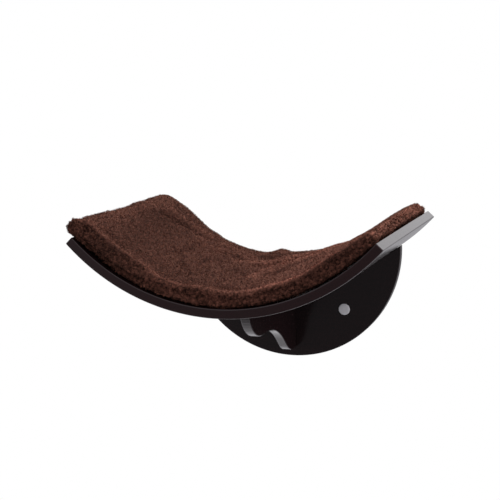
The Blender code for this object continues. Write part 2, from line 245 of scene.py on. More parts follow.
# The same three as depth in millimetres and as painted shade on the pile, each with its widths
END_DEPTHS = ((5.5, 0.13), (7.5, 8.0, 0.25), (4.5, 6.0, 0.2))
END_SHADES = ((1.35, 0.20), (0.75, 9.0, 0.28), (0.6, 6.0, 0.22))
# Painted shade at the end's foot as amount, level and width; painted light on the right end, with where it
# starts along and in from the front
END_FOOT_SHADE = (0.40, 0.06, 0.14)
END_PAINTED_LIGHT = 0.78
END_PAINTED_LIGHT_FROM = (200, 218)
END_PAINTED_LIGHT_FRONT = (FRONT_EDGE - 4, FRONT_EDGE + 10)

# Painted light and shade on the pile along the top and along the front, a painted highlight along the
# ridge, painted shade in the left hollow
TOP_PAINTED_SHADING = ((-240, 1.12), (-218, 1.05), (-195, 0.84), (-110, 0.86), (-40, 0.90), (0, 0.96), (60, 1.2),
           (130, 1.3), (180, 1.24), (225, 1.2))
FRONT_PAINTED_SHADE = ((-240, 0.92), (-228, 0.76), (-205, 0.56), (-150, 0.56), (-120, 0.72), (-80, 0.96),
             (-40, 1.04), (0, 1.08), (40, 0.95), (120, 0.86), (200, 0.84), (225, 0.95))
FRONT_PAINTED_SHADE_TO = (FRONT_EDGE + 2, FRONT_EDGE + 7)
FRONT_PAINTED_SHADE_SLANT = (11, 13)
# The ridge's painted highlight: on the left, more past a span, more on the right, and its place and widths
RIDGE_PAINTED_HIGHLIGHT_LEFT = 0.48
RIDGE_PAINTED_HIGHLIGHT_MORE = 0.26
RIDGE_MORE_SPAN = (-150, -100)
RIDGE_PAINTED_HIGHLIGHT_RIGHT = 0.85
HIGHLIGHT_PLACE = 5
HIGHLIGHT_WIDTH = 6.5
HIGHLIGHT_WIDTH_RIGHT = 4
LEFT_HOLLOW_SHADE = (0.20, -196, 22.0, -118, 34.0)

# The filling: Blender's cloth settings, its frames, and how many coarse cells in from the rim it is sewn
FILLING = {
    "quality": 6, "mass": 0.3, "tension_stiffness": 12, "compression_stiffness": 12, "shear_stiffness": 6,
    "bending_stiffness": 0.6, "use_pressure": True, "uniform_pressure_force": 4.0,
    "vertex_group_shrink": "panels", "shrink_min": 0.0, "shrink_max": -0.035,
}
FILLING_FRAMES = 20
SEAM_CELL = 2
# Only its local swell is taken: turns of blur that give the broad part, share taken, and most metres moved
BLUR_TURNS = 40
FILL_SHARE = 0.8
FILL_LIMIT = 0.002

# Where the top's pile gives way to the sides': levels as shares of the thickness
SIDE_LEVELS = (0.80, 0.97)

# The pile's clumps: sizes in millimetres with seeds, on the top and on the sides
CLUMPS = ((2.7, 31), (5.0, 51))
# Each is a dome cut by a crease, sized by shares of the clump, and what the two count for in its height
DOME_SIZE = 0.72
CREASE_SIZE = 0.35
DOME_SHARE = 0.6
CREASE_SHARE = 0.4
# How far the blades lean with their clump, and how far the cover itself rises in it, in millimetres
CLUMP_LEAN = 0.8
CLUMP_RELIEF = 0.5
SIDE_RELIEF = 1.3
UNDER_FLATTENING = 0.75
UNDER_COVER = (-0.2, 0.75)
CLUMP_LEVEL = 0.55
# How much of its clump's height the cover takes as painted shade, darker low between clumps
COVER_CLUMP_SHADE = 0.75

# The pile's blades: pieces and blades in each, first seed, and how dense they grow under the cushion
PILE_PIECES = 4
BLADES = 39000
PILE_SEED = 100
UNDER_SHARE = 0.35
UNDER_PILE = (0.1, 0.9)
# Their lengths in millimetres: at the least, more with a clump's height, more on the sides
BLADE_LENGTHS = (1.7, 1.0, 1.2)
UNDER_SHORTER = 0.55
# How they vary: spans of length and of width, then spreads of lean, curl, facing and shade
LENGTH_SPAN = (0.75, 1.25)
WIDTH_SPAN = (0.40, 0.60)
SIDE_WIDER = 0.2
LEAN_SPREAD = 0.45
CURL_SPREAD = 0.22
FACING_SPREAD = 0.18
SHADE_SPREAD = 0.2
# A curled blade's twist, and how round its clump is shaded
CURL_TWIST = 1.2
CLUMP_ROUNDNESS = 0.9
# Painted shade in the pile: darker at its root than at its tip, and low in its clump than high up; and its
# clump's own tone
ROOT_TO_TIP_SHADE = (0.25, 0.75)
LOW_TO_HIGH_CLUMP_SHADE = (0.62, 0.38)
CLUMP_SHADE = 0.7
# One blade from root to tip: place along it, rise and lean as shares of its length, share of its width
BLADE = ((0.0, -0.06, 0.0, 0.5), (0.36, 0.34, 0.10, 0.55), (0.70, 0.56, 0.38, 0.42),
         (1.0, 0.58, 0.74, 0.0))
# Its corners on the texture map, in a small tile of its own, and the number of tiles along the map
BLADE_MAP = np.array([(0.2, 0.1), (0.8, 0.1), (0.2, 0.4), (0.8, 0.4), (0.2, 0.7), (0.8, 0.7), (0.5, 0.9)])
TILES = 256
# The cover's map: the size of each of its halves and the margin round them
MAP_SIZE = (0.98, 0.48)
MAP_MARGIN = (0.01, 0.01)

# Sockets of the Mix node that carry colours
MIX_A, MIX_B, MIX_RESULT = 6, 7, 2

# Constants that scramble whole numbers, and the number of values that come out
HASH_STEP = np.uint64(0x9E3779B97F4A7C15)
HASH_END = np.uint64(0xBF58476D1CE4E5B9)
HASH_VALUES = 0x1000000


def smooth(low, high, value):
    """0 up to low, 1 from high on, and a smooth rise between them."""
    t = np.clip((value - low) / (high - low), 0.0, 1.0)
    return t * t * (3 - 2 * t)


def between(span, value):
    """1 inside a span, 0 outside, with smooth ends."""
    return smooth(span[0], span[1], value) * (1 - smooth(span[2], span[3], value))


def bump(value, width):
    return np.exp(-(value / width) ** 2)


def bow(place, middle, size):
    """1 in the middle of a size and 0 at both ends of it."""
    return 1 - (2 * (place - middle) / size) ** 2


def table_height(table, s):
    """A smooth line through a table of places and heights."""
    places = np.array([row[0] for row in table], float)
    heights = np.array([row[1] for row in table], float)
    index = np.clip(np.searchsorted(places, s, side="right") - 1, 0, len(places) - 2)
    t = np.clip((s - places[index]) / (places[index + 1] - places[index]), 0.0, 1.0)
    slopes = np.gradient(heights, places)
    span = places[index + 1] - places[index]
    a = heights[index]
    b = heights[index + 1]
    return ((2 * t ** 3 - 3 * t ** 2 + 1) * a + (t ** 3 - 2 * t ** 2 + t) * span * slopes[index]
            + (3 * t ** 2 - 2 * t ** 3) * b + (t ** 3 - t ** 2) * span * slopes[index + 1])


def near_line(points, s, y):
    """Distance in millimetres from a broken line through points, signed: positive towards the wall."""
    best = np.full(np.shape(s), 1e9)
    side = np.zeros(np.shape(s))
    for (s0, y0), (s1, y1) in zip(points, points[1:]):
        ds = s1 - s0
        dy = y1 - y0
        t = np.clip(((s - s0) * ds + (y - y0) * dy) / (ds * ds + dy * dy), 0.0, 1.0)
        away = np.hypot(s - s0 - t * ds, y - y0 - t * dy)
        nearer = away < best
        best = np.where(nearer, away, best)
        side = np.where(nearer, np.sign(ds * (y - y0) - dy * (s - s0)), side)
    return best * side


def hashed(*numbers):
    """A repeatable value from 0 to 1 for each set of whole numbers."""
    total = np.zeros(np.shape(numbers[0]), np.uint64)
    for number in numbers:
        total = (total ^ np.asarray(number).astype(np.int64).astype(np.uint64)) * HASH_STEP
        total = total ^ (total >> np.uint64(29))
    total = total * HASH_END
    total = total ^ (total >> np.uint64(32))
    return (total & np.uint64(HASH_VALUES - 1)).astype(float) / HASH_VALUES


def soft_noise(points, size, seed):
    """Smooth noise from -1 to 1 over points in millimetres, with lumps of this size."""
    scaled = points / size
    corner = np.floor(scaled).astype(int)
    t = scaled - corner
    t = t * t * (3 - 2 * t)
    total = np.zeros(len(points))
    for step in np.ndindex(2, 2, 2):
        weight = np.prod(np.where(step, t, 1 - t), axis=1)
        total += weight * hashed(*(corner + step).T, seed)
    return total * 2 - 1


def plan_noise(points, layers):
    """Noise over the cushion's plan, in millimetres."""
    return sum(soft_noise(points * (1, 1, 0), size, seed) * height for size, seed, height in layers)


def clumps(points, size, seed):
    """For each point: distance to the nearest clump's middle and to the next, that middle, its number."""
    scaled = points / size
    home = np.floor(scaled).astype(int)
    first = np.full(len(points), 1e9)
    second = np.full(len(points), 1e9)
    middle = np.zeros_like(points)
    number = np.zeros(len(points))
    for step in np.ndindex(3, 3, 3):
        cell = home + step - 1
        spot = np.stack([cell[:, axis] + hashed(*cell.T, seed + axis) for axis in range(3)], 1)
        away = np.linalg.norm(scaled - spot, axis=1)
        nearer = away < first
        second = np.where(nearer, first, np.minimum(second, away))
        middle[nearer] = spot[nearer]
        number = np.where(nearer, hashed(*cell.T, seed + 7), number)
        first = np.where(nearer, away, first)
    return first * size, second * size, middle * size, number


def add_object(name, data):
    obj = bpy.data.objects.new(name, data)
    bpy.context.scene.collection.objects.link(obj)
    return obj


def camera():
    azimuth, elevation, roll = (math.radians(v) for v in (CAMERA_AZIMUTH, CAMERA_ELEVATION, CAMERA_ROLL))
    back = Vector((math.sin(azimuth) * math.cos(elevation), -math.cos(azimuth) * math.cos(elevation),
                   math.sin(elevation)))
    right = Vector((math.cos(azimuth), math.sin(azimuth), 0))
    up = back.cross(right)
    rolled_right = math.cos(roll) * right + math.sin(roll) * up
    rolled_up = -math.sin(roll) * right + math.cos(roll) * up
    matrix = Matrix((rolled_right, rolled_up, back)).transposed().to_4x4()
    matrix.translation = CAMERA_TARGET + back * CAMERA_DISTANCE
    data = bpy.data.cameras.new("photo_camera")
    data.sensor_width = SENSOR
    data.lens = FOCAL_SHARE * SENSOR
    obj = add_object("photo_camera", data)
    obj.matrix_world = matrix
    bpy.context.scene.camera = obj


class Nodes:
    """A material's or world's node tree, with short calls for what this scene uses."""

    def __init__(self, owner):
        owner.use_nodes = True
        self.tree = owner.node_tree

    def put(self, socket, value):
        if isinstance(value, bpy.types.NodeSocket):
            self.tree.links.new(value, socket)
        elif isinstance(value, tuple) and len(value) == 3 and socket.type == "RGBA":
            socket.default_value = (*value, 1.0)
        else:
            socket.default_value = value

    def fill(self, node, inputs):
        for key, value in inputs.items():
            self.put(node.inputs[key], value)

    def add(self, kind, inputs=None, **settings):
        node = self.tree.nodes.new(kind)
        for key, value in settings.items():
            setattr(node, key, value)
        self.fill(node, inputs or {})
        return node

    def math(self, operation, a, b=0.0, clamp=False):
        return self.add("ShaderNodeMath", {0: a, 1: b}, operation=operation, use_clamp=clamp).outputs[0]

    def ramp(self, value, low, high, start=0.0, end=1.0, kind="SMOOTHSTEP"):
        inputs = {"Value": value, "From Min": low, "From Max": high, "To Min": start, "To Max": end}
        return self.add("ShaderNodeMapRange", inputs, interpolation_type=kind).outputs["Result"]

    def mix(self, factor, a, b, blend="MIX"):
        inputs = {0: factor, MIX_A: a, MIX_B: b}
        return self.add("ShaderNodeMix", inputs, data_type="RGBA", blend_type=blend).outputs[MIX_RESULT]

    def object_place(self):
        return self.add("ShaderNodeTexCoord").outputs["Object"]

    def coordinates(self, scale=(1.0, 1.0, 1.0)):
        return self.add("ShaderNodeMapping", {"Vector": self.object_place(), "Scale": scale}).outputs[0]

    def axes(self, vector):
        outputs = self.add("ShaderNodeSeparateXYZ", {0: vector}).outputs
        return outputs["X"], outputs["Y"], outputs["Z"]

    def noise(self, vector, scale, detail=3.0, roughness=0.55, distortion=0.0):
        inputs = {"Vector": vector, "Scale": scale, "Detail": detail, "Roughness": roughness,
                  "Distortion": distortion}
        return self.add("ShaderNodeTexNoise", inputs).outputs["Fac"]

    def cells(self, vector, scale):
        return self.add("ShaderNodeTexVoronoi", {"Vector": vector, "Scale": scale}).outputs["Distance"]

    def attribute(self, name):
        return self.add("ShaderNodeAttribute", attribute_name=name).outputs["Fac"]

    def relief(self, height, distance, normal=None):
        node = self.add("ShaderNodeBump", {"Strength": 1.0, "Distance": distance, "Height": height})
        if normal is not None:
            self.put(node.inputs["Normal"], normal)
        return node.outputs[0]


def shader_of(name):
    material = bpy.data.materials.new(name)
    nodes = Nodes(material)
    return material, nodes, nodes.tree.nodes["Principled BSDF"]


def lacquer():
    """Espresso-brown lacquer on plywood: faint grain along the board, slight orange peel, a clear coat."""
    material, n, shader = shader_of("espresso_lacquer")
    grain = n.noise(n.coordinates((9.0, 120.0, 120.0)), 3.0, detail=5.0, roughness=0.6, distortion=0.4)
    fine = n.noise(n.coordinates((30.0, 400.0, 400.0)), 2.0, detail=2.0)
    clouds = n.noise(n.coordinates(), 14.0)
    waves = n.noise(n.coordinates(), 60.0, detail=2.0)
    peel = n.noise(n.coordinates(), 520.0, detail=2.0)
    x, y, z = n.axes(n.object_place())
    drop = n.math("SUBTRACT", z, ARC_Z)
    from_centre = n.math("SQRT", n.math("ADD", n.math("POWER", x, 2.0), n.math("POWER", drop, 2.0)))
    # Painted shade: the plate's rim reflects less, with no coat and more roughness, for the shadow of a
    # wall beside it
    plate_rim_shade = n.math("MULTIPLY", n.ramp(y, *PLATE_RIM_SHADE_Y), n.ramp(from_centre, *PLATE_RIM_SHADE_RADIUS))
    # The board's front face, lighter and redder than the rest of the board, varied with the grain
    front_face_tone = n.math("MULTIPLY", n.ramp(y, *FRONT_FACE_Y, 1.0, 0.0), n.ramp(grain, 0.2, 0.8, 0.6, 0.9))
    colour = n.mix(n.ramp(grain, 0.3, 0.7), LACQUER_DARK, LACQUER_LIGHT)
    colour = n.mix(n.ramp(clouds, 0.3, 0.75, 0.0, 0.5), colour, LACQUER_CLOUD)
    rough = n.math("ADD", n.ramp(clouds, 0.25, 0.75, 0.13, 0.18), n.ramp(fine, 0.3, 0.7, -0.02, 0.02))
    normal = n.relief(waves, 0.00005, n.relief(grain, 0.00002))
    n.fill(shader, {
        "Base Color": n.mix(front_face_tone, colour, FRONT_FACE_COLOUR),
        "Roughness": n.math("ADD", rough, n.math("MULTIPLY", plate_rim_shade, 0.10)),
        "IOR": 1.5,
        "Specular IOR Level": n.ramp(plate_rim_shade, 0.0, 1.0, 0.5, 0.2),
        "Normal": n.relief(peel, 0.00001, normal),
        "Coat Weight": n.ramp(plate_rim_shade, 0.0, 1.0, 0.2, 0.0),
        "Coat Roughness": 0.16,
        "Coat Normal": n.relief(waves, 0.00005),
    })
    return material


def steel():
    """Bright zinc plate with fine turning marks and cloudy dulling."""
    material, n, shader = shader_of("zinc_plate")
    marks = n.noise(n.coordinates(), 1800.0)
    clouds = n.noise(n.coordinates(), 260.0)
    n.fill(shader, {
        "Base Color": n.mix(clouds, ZINC_DARK, ZINC_LIGHT),
        "Roughness": n.ramp(clouds, 0.3, 0.7, 0.22, 0.42),
        "Normal": n.relief(marks, 0.00002),
        "Metallic": 1.0,
    })
    return material


def cap_plastic():
    """Silver-grey moulded cap: satin, with a fine spark-eroded texture and faint handling marks."""
    material, n, shader = shader_of("cap_moulding")
    texture = n.noise(n.coordinates(), 2600.0, detail=2.0)
    marks = n.noise(n.coordinates((1.0, 1.0, 6.0)), 500.0, detail=4.0)
    n.fill(shader, {
        "Base Color": n.mix(n.ramp(marks, 0.35, 0.7), CAP_DARK, CAP_LIGHT),
        "Roughness": n.ramp(marks, 0.3, 0.7, 0.36, 0.48),
        "Normal": n.relief(texture, 0.00003),
    })
    return material


def nylon():
    """Black hook-and-loop tape: a woven ground under rows of small hooks."""
    material, n, shader = shader_of("hook_and_loop_tape")
    rows = n.cells(n.coordinates(), 900.0)
    lint = n.noise(n.coordinates(), 400.0, detail=4.0)
    n.fill(shader, {
        "Base Color": n.mix(n.ramp(rows, 0.1, 0.6), HOOK_COLOUR, TAPE_COLOUR),
        "Roughness": n.ramp(lint, 0.3, 0.7, 0.75, 0.95),
        "Normal": n.relief(rows, 0.0003),
        "Sheen Weight": 0.15,
    })
    return material


def fleece(name, dark, light):
    """Brown teddy fleece: clouded colour, times painted shade at its pile's roots and low in its clumps,
    and painted light and shade over the cushion's form.
    """
    material, n, shader = shader_of(name)
    place = n.coordinates()
    clouds = n.noise(place, 38.0)
    mottle = n.noise(place, 260.0, roughness=0.6)
    wool = n.noise(place, 1400.0)
    colour = n.mix(n.ramp(mottle, 0.3, 0.7), dark, light)
    colour = n.mix(n.ramp(clouds, 0.3, 0.7, 0.0, 0.35), colour, tuple(v * 0.8 for v in light))
    # Painted shade and light: darker at the pile's roots and low in its clumps, times each clump's own
    # tone and the painted light and shade of the cushion's form
    pile_depth_shade = n.ramp(n.attribute("pile"), 0.0, 1.0, 0.35, 1.15)
    each_clump = n.ramp(n.attribute("shade"), 0.0, 1.0, 0.54, 1.46)
    strength = n.math("MULTIPLY", n.math("MULTIPLY", pile_depth_shade, each_clump), n.attribute("nap"))
    grey = n.add("ShaderNodeCombineColor", {channel: strength for channel in range(3)}).outputs[0]
    n.fill(shader, {
        "Base Color": n.mix(1.0, colour, grey, blend="MULTIPLY"),
        "Roughness": n.ramp(mottle, 0.3, 0.7, 0.82, 0.98),
        "Normal": n.relief(wool, 0.0004),
        "Specular IOR Level": 0.05,
        "Sheen Weight": 0.05,
        "Sheen Roughness": 0.45,
        "Sheen Tint": SHEEN_TINT,
    })
    return material


def world():
    """White to the camera. As light and in mirrors it is dimmer, and darker towards the room."""
    owner = bpy.data.worlds.new("studio")
    bpy.context.scene.world = owner
    n = Nodes(owner)
    _, y, z = n.axes(n.add("ShaderNodeTexCoord").outputs["Generated"])
    towards_room = n.math("SUBTRACT", n.math("MULTIPLY", z, ROOM_TILT), y)
    room = n.ramp(towards_room, *ROOM_SHADE, kind="LINEAR")
    rays = n.add("ShaderNodeLightPath").outputs
    seen = n.math("ADD", rays["Is Camera Ray"], rays["Is Transmission Ray"], clamp=True)
    diffuse = rays["Is Diffuse Ray"]
    soft = n.ramp(z, *DIFFUSE_LIGHT)
    mirrored = n.math("ADD", n.ramp(z, *MIRRORED_BELOW), n.ramp(z, *MIRRORED_ABOVE))
    height = n.math("ADD", n.math("MULTIPLY", diffuse, soft),
                    n.math("MULTIPLY", n.math("SUBTRACT", 1.0, diffuse), mirrored))
    lit = n.math("MULTIPLY", n.math("MULTIPLY", height, room), n.math("SUBTRACT", 1.0, seen))
    n.fill(n.tree.nodes["Background"], {
        "Color": n.mix(seen, MIRRORED_TINT, WHITE),
        "Strength": n.math("ADD", lit, seen),
    })


def lamp(name, place, aim, size, energy):
    data = bpy.data.lights.new(name, "AREA")
    data.shape = "RECTANGLE"
    data.size, data.size_y = size
    data.energy = energy
    obj = add_object(name, data)
    obj.location = place
    obj.rotation_euler = (Vector(aim) - Vector(place)).to_track_quat("-Z", "Y").to_euler()
    obj.visible_camera = False


def studio_floor():
    """A pale round floor below the bed that fades out at its edge and keeps the bed's shadow."""
    bm = bmesh.new()
    rings = []
    for ring in range(1, FLOOR_RINGS + 1):
        radius = FLOOR_RADIUS * ring / FLOOR_RINGS
        angles = [math.tau * k / FLOOR_SIDES for k in range(FLOOR_SIDES)]
        rings.append([bm.verts.new((radius * math.cos(a), radius * math.sin(a), 0.0)) for a in angles])
    centre = bm.verts.new((0.0, 0.0, 0.0))
    for k in range(FLOOR_SIDES):
        after = (k + 1) % FLOOR_SIDES
        bm.faces.new((centre, rings[0][k], rings[0][after]))
        for inner, outer in zip(rings, rings[1:]):
            bm.faces.new((inner[k], outer[k], outer[after], inner[after]))
    mesh = bpy.data.meshes.new("studio_floor")
    bm.to_mesh(mesh)
    bm.free()
    floor = add_object("studio_floor", mesh)
    floor.location = FLOOR_PLACE
    material, n, shader = shader_of("pale_floor")
    place = n.object_place()
    from_middle = n.add("ShaderNodeVectorMath", {0: place}, operation="LENGTH").outputs["Value"]
    n.fill(shader, {
        "Base Color": n.mix(n.noise(place, 300.0, detail=2.0), FLOOR_DARK, FLOOR_LIGHT),
        "Roughness": 0.9,
        "Alpha": n.ramp(from_middle, *FLOOR_FADE, 1.0, 0.0),
    })
    mesh.materials.append(material)


def section():
    """Inset and height share of the cushion's side, per ring cell, for its upper and its lower half."""
    made = []
    for roll, share in ((TOP_ROLL, 1 - MIDDLE_SHARE), (BOTTOM_ROLL, MIDDLE_SHARE)):
        height = NOMINAL_THICKNESS * share
        angle = np.linspace(0.0, math.pi / 2, ROLL_STEPS)
        insets = np.concatenate([[0.0], roll * (1 - np.cos(angle)), [CORNER]])
        levels = np.concatenate([[0.0], height - roll + roll * np.sin(angle), [height]])
        along = np.concatenate([[0.0], np.cumsum(np.hypot(np.diff(insets), np.diff(levels)))])
        wanted = np.linspace(0.0, along[-1], RING_CELLS + 1)
        made.append((np.interp(wanted, along, insets), np.interp(wanted, along, levels) / height))
    return made


def past_ring(cell, cells):
    """How far out in the ring a cell lies: 1 at the first cell, 0 inside the ring, -1 at the last cell."""
    last = cells - RING_CELLS
    return np.maximum(0.0, RING_CELLS - cell) / RING_CELLS - np.maximum(0.0, cell - last) / RING_CELLS


def inner_place(cell, cells, low, high):
    """Where a cell lies between two edges, with the ring's cells all a corner's radius in."""
    inner = np.clip(cell, RING_CELLS, cells - RING_CELLS)
    return low + CORNER + (inner - RING_CELLS) / (cells - 2 * RING_CELLS) * (high - low - 2 * CORNER)


def plan(insets, shares):
    """A half's grid with rounded corners: places along and across, height shares, shares of the way in."""
    i, j = np.indices(GRID).astype(float)
    past_along = past_ring(i, CELLS_ALONG)
    past_across = past_ring(j, CELLS_ACROSS)
    out_along = past_along * np.sqrt(1 - past_across ** 2 / 2)
    out_across = past_across * np.sqrt(1 - past_along ** 2 / 2)
    reach = np.clip(np.hypot(out_along, out_across), 0.0, 1.0)
    cell = RING_CELLS * (1 - reach)
    inset = np.interp(cell, np.arange(RING_CELLS + 1), insets)
    share = np.interp(cell, np.arange(RING_CELLS + 1), shares)
    scale = np.where(reach > 1e-9, (1 - inset / CORNER) / np.maximum(reach, 1e-9), 0.0)
    s = inner_place(i, CELLS_ALONG, LEFT_END, RIGHT_END) - CORNER * out_along * scale
    y = inner_place(j, CELLS_ACROSS, FRONT_EDGE, BACK_EDGE) - CORNER * out_across * scale
    return s, y, share, 1 - reach


def slanted(s):
    """1 where the front slopes back to its ridge, on the left, and 0 where it stands upright."""
    return between(SLANTED_FRONT, s)


def rim_line(s):
    """Where the front rim's ridge runs, out from the wall."""
    waves = sum(height * np.sin(s / length + turn) for height, length, turn in RIDGE_WAVES)
    return RIDGE_Y + waves + RIDGE_SHIFT * slanted(s)


def swell(s, y, height, s_place, s_width, y_place, y_width):
    return height * bump(s - s_place, s_width) * bump(y - y_place, y_width)


def fold_amount(s, y, kind):
    """What all folds add at each place: their "rise" or their painted "light"."""
    total = 0.0
    for folds, share in ((BACK_FOLDS, between(BACK_FOLDS_SPAN, s)), (TOP_FOLDS, 1.0)):
        for fold in folds:
            width = getattr(fold, kind + "_width")
            total = total + share * getattr(fold, kind) * bump(near_line(fold.points, s, y), width)
    return total


def top_height(s, y):
    """Height of the cushion's top above its base, in millimetres."""
    across = smooth(*TOP_SPAN, y)
    height = (1 - across) * table_height(FRONT_HEIGHTS, s) + across * table_height(BACK_HEIGHTS, s)
    height = height - BASE_LIFT - PILE_ALLOWANCE + CROWN * bow(y, MIDDLE_Y, DEPTH)
    from_ridge = y - rim_line(s)
    height += RIDGE_RISE * bump(from_ridge, RIDGE_WIDTH)
    height -= GUTTER_DEPTH * bump(from_ridge - GUTTER_PLACE, GUTTER_WIDTH)
    at_edge = 1 - smooth(*SLANT_SPAN, y)
    height -= slanted(s) * (SLANT_DROP + SLANT_EDGE_DROP * at_edge)
    height += fold_amount(s, y, "rise")
    for row in SWELLS:
        height += swell(s, y, *row)
    return height


def thickness_at(s, y):
    return np.maximum(LEAST_THICKNESS, top_height(s, y))


def end_marks(y, level, crease, notch, pit):
    """The right end's crease, notch and pit, each as its amount with its widths."""
    total = crease[0] * bump(level - CREASE_LEVEL, crease[1]) * (1 - smooth(*CREASE_END, y))
    for (amount, width, level_width), (place, middle) in ((notch, NOTCH_PLACE), (pit, PIT_PLACE)):
        total += amount * bump(y - place, width) * bump(level - middle, level_width)
    return total


def side_press(s, y, level):
    """How far the right end is pressed in, in millimetres, at a share of the cushion's height."""
    right = smooth(*END_PRESS, s) * smooth(*END_PRESS_FRONT, y)
    return right * end_marks(y, level, *END_DEPTHS)


def front_band(s, y, level):
    """How far the front is pressed in between its ridge and its lower roll, in millimetres."""
    return BAND_HOLLOW * between(BAND_SPAN, s) * (y < MIDDLE_Y) * between(BAND_LEVELS, level)


def bend(flat):
    """From flat places in millimetres to places over the board's arc, in metres."""
    s, y, height = np.moveaxis(flat, -1, 0)
    radius = BASE_RADIUS - height * MM
    angle = s * MM / BOARD_RADIUS
    return np.stack([radius * np.sin(angle), y * MM, ARC_Z - radius * np.cos(angle)], -1)


def pulled(place, middle, half, amount):
    """A place moved in towards the middle by this amount at the edge, and by hardly any further in."""
    share = (place - middle) / half
    return place - np.sign(share) * np.abs(share) ** PULL_POWER * amount


def halves():
    """The flat places of the upper and lower halves' grids, in millimetres."""
    made = []
    for upper, (insets, shares) in zip((True, False), section()):
        s, y, share, way_in = plan(insets, shares)
        thickness = thickness_at(s, y)
        middle = thickness * MIDDLE_SHARE
        height = middle + (thickness - middle) * share if upper else middle * (1 - share)
        points = np.stack([s, y, height], -1).reshape(-1, 3)
        near_rim = 1 - smooth(*RIM_FADE, way_in)
        waver = plan_noise(points, EDGE_WAVER).reshape(s.shape) * near_rim
        press = side_press(s, y, height / thickness) * near_rim + EDGE_PULL - waver
        end_pull = press + END_PULL * bow(y, MIDDLE_Y, DEPTH)
        front_pull = press * FRONT_SHARE + FRONT_PULL * bow(s, MIDDLE_S, LENGTH)
        s = pulled(s, MIDDLE_S, HALF_LENGTH, end_pull)
        y = pulled(y, MIDDLE_Y, HALF_DEPTH, front_pull)
        y = y + front_band(s, y, height / thickness) * near_rim
        lift = table_height(FRONT_LIFTS, s) * (1 - smooth(*LIFT_SPAN, y))
        height = height + lift * (1 - np.clip(height / thickness, 0, 1))
        for end, edge, reach, droop in CORNERS:
            near = np.exp(-((s - end) ** 2 + (y - edge) ** 2) / CORNER_REACH ** 2)
            s = s + math.copysign(1, end) * reach * near
            y = y + (-1 if edge == FRONT_EDGE else 1) * reach * near
            height = height - droop * near * (1 - DROOP_FADE * np.clip(height / thickness, 0, 1))
        if upper:
            height = height + plan_noise(points, TOP_LUMPS).reshape(s.shape) * smooth(*LUMPS_FROM, share)
        made.append(np.stack([s, y, height], -1))
    rim = np.ones(GRID, bool)
    rim[1:-1, 1:-1] = False
    made[1][rim] = made[0][rim]
    return made


def cubic_weights(fine, coarse):
    """A matrix that carries values on a coarse row of points to a fine one with smooth curves."""
    weights = np.zeros((fine + 1, coarse + 1))
    for row, place in enumerate(np.linspace(0.0, coarse, fine + 1)):
        cell = min(int(place), coarse - 1)
        t = place - cell
        parts = (-0.5 * t ** 3 + t ** 2 - 0.5 * t, 1.5 * t ** 3 - 2.5 * t ** 2 + 1,
                 -1.5 * t ** 3 + 2 * t ** 2 + 0.5 * t, 0.5 * t ** 3 - 0.5 * t ** 2)
        for offset, part in zip((-1, 0, 1, 2), parts):
            weights[row, min(max(cell + offset, 0), coarse)] += part
    return weights


def blurred(field):
    for _ in range(BLUR_TURNS):
        padded = np.pad(field, ((1, 1), (1, 1), (0, 0)), mode="edge")
        around = padded[:-2, 1:-1] + padded[2:, 1:-1] + padded[1:-1, :-2] + padded[1:-1, 2:]
        field = (around + 2 * field) / 6
    return field


def sheet_faces(numbers, flip):
    a, b, c, d = numbers[:-1, :-1], numbers[1:, :-1], numbers[1:, 1:], numbers[:-1, 1:]
    order = (a, d, c, b) if flip else (a, b, c, d)
    return np.stack(order, -1).reshape(-1, 4)


def filling_moves(points, faces, panels):
    """How the cover's points move when the filling presses on it, by a cloth simulation."""
    mesh = bpy.data.meshes.new("cover_cloth")
    mesh.from_pydata(points.tolist(), [], faces.tolist())
    cover = add_object("cover_cloth", mesh)
    group = cover.vertex_groups.new(name=FILLING["vertex_group_shrink"])
    for numbers in panels:
        group.add(numbers.tolist(), 1.0, "REPLACE")
    cloth = cover.modifiers.new("filling", "CLOTH")
    for key, value in FILLING.items():
        setattr(cloth.settings, key, value)
    cloth.settings.effector_weights.gravity = 0.0
    cloth.collision_settings.use_collision = False
    cloth.point_cache.frame_start = 1
    cloth.point_cache.frame_end = FILLING_FRAMES
    scene = bpy.context.scene
    for number in range(1, FILLING_FRAMES + 1):
        scene.frame_set(number)
    evaluated = cover.evaluated_get(bpy.context.evaluated_depsgraph_get())
    after = np.zeros(len(points) * 3, np.float32)
    evaluated.data.vertices.foreach_get("co", after)
    scene.frame_set(1)
    bpy.data.objects.remove(cover, do_unlink=True)
    bpy.data.meshes.remove(mesh)
    return after.reshape(-1, 3).astype(float) - points


def filled(top, bottom):
    """How both halves of the cover move when filled, simulated on every fourth point."""
    coarse = [half[::COARSE, ::COARSE] for half in (top, bottom)]
    shape = coarse[0].shape[:2]
    upper = np.arange(shape[0] * shape[1]).reshape(shape)
    lower = upper.copy()
    inside = np.zeros(shape, bool)
    inside[1:-1, 1:-1] = True
    lower[inside] = upper.size + np.arange(int(inside.sum()))
    points = np.concatenate([coarse[0].reshape(-1, 3), coarse[1][inside]])
    faces = np.concatenate([sheet_faces(upper, False), sheet_faces(lower, True)])
    k = SEAM_CELL
    seam = np.zeros(shape, bool)
    seam[k, k:shape[1] - k] = seam[shape[0] - 1 - k, k:shape[1] - k] = True
    seam[k:shape[0] - k, k] = seam[k:shape[0] - k, shape[1] - 1 - k] = True
    moves = filling_moves(points, faces, (upper[~seam], lower[~seam]))
    found = []
    along = cubic_weights(CELLS_ALONG, CELLS_ALONG // COARSE)
    across = cubic_weights(CELLS_ACROSS, CELLS_ACROSS // COARSE)
    for numbers in (upper, lower):
        field = FILL_SHARE * (moves[numbers] - blurred(moves[numbers]))
        size = np.linalg.norm(field, axis=-1, keepdims=True)
        field = field * np.minimum(1.0, FILL_LIMIT / np.maximum(size, 1e-9))
        found.append(np.einsum("ia,abk,jb->ijk", along, field, across))
    return found


